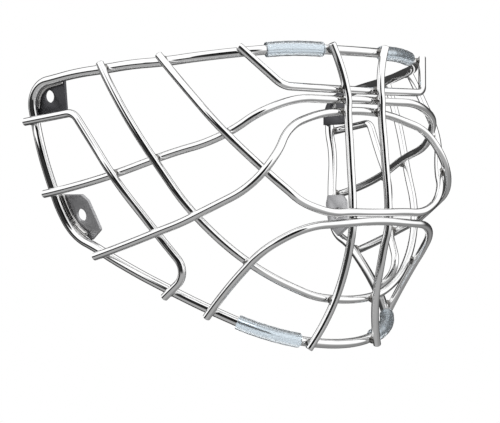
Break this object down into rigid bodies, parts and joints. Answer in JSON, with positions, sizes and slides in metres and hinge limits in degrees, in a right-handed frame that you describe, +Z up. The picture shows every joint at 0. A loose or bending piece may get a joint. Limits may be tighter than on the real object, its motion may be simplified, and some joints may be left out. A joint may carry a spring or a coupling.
{
  "type": "goalie mask face cage",
  "caption": "Welded stainless wire face cage of a goalie mask, with a cat-eye opening, mounting tabs and clear vinyl rim sleeves.",
  "frame": {"origin": "centre of the four screw holes that hold the cage to a mask shell", "axes": "X = 0 is the plane of symmetry, the face looks along -Y, +Z is up, and -X is the side named left, seen from the front"},
  "size_m": [0.2474, 0.1587, 0.1682],
  "materials": {
    "stainless_wire": "polished stainless steel wire",
    "stainless_rim": "polished stainless steel wire, heavier gauge",
    "stainless_sheet": "tumbled stainless sheet with sheared edges",
    "bare_weld": "bare resistance weld, lightly oxidised",
    "clear_vinyl": "clear soft vinyl tube"
  },
  "bodies": {
    "root": {"rim_wire": "stainless_rim", "crown_hoop_wire": "stainless_wire", "brow_wire": "stainless_wire", "eye_wire": "stainless_wire", "nose_wire": "stainless_wire", "mouth_wire": "stainless_wire", "chin_wire": "stainless_wire", "centre_bar_left": "stainless_wire", "centre_bar_right": "stainless_wire", "cheek_wire_left": "stainless_wire", "cheek_wire_right": "stainless_wire", "crown_sleeve_left": "clear_vinyl", "crown_sleeve_right": "clear_vinyl", "chin_sleeve_left": "clear_vinyl", "chin_sleeve_right": "clear_vinyl", "temple_tab_left": "stainless_sheet", "temple_tab_right": "stainless_sheet", "jaw_tab_left": "stainless_sheet", "jaw_tab_right": "stainless_sheet", "temple_tab_weld_left": "bare_weld", "temple_tab_weld_right": "bare_weld", "jaw_tab_weld_left": "bare_weld", "jaw_tab_weld_right": "bare_weld", "crown_rim_welds_left": "bare_weld", "crown_rim_welds_right": "bare_weld", "jaw_rim_welds_left": "bare_weld", "jaw_rim_welds_right": "bare_weld", "centre_bar_welds_left": "bare_weld", "centre_bar_welds_right": "bare_weld", "side_grid_welds_left": "bare_weld", "side_grid_welds_right": "bare_weld"}
  },
  "joints": []
}
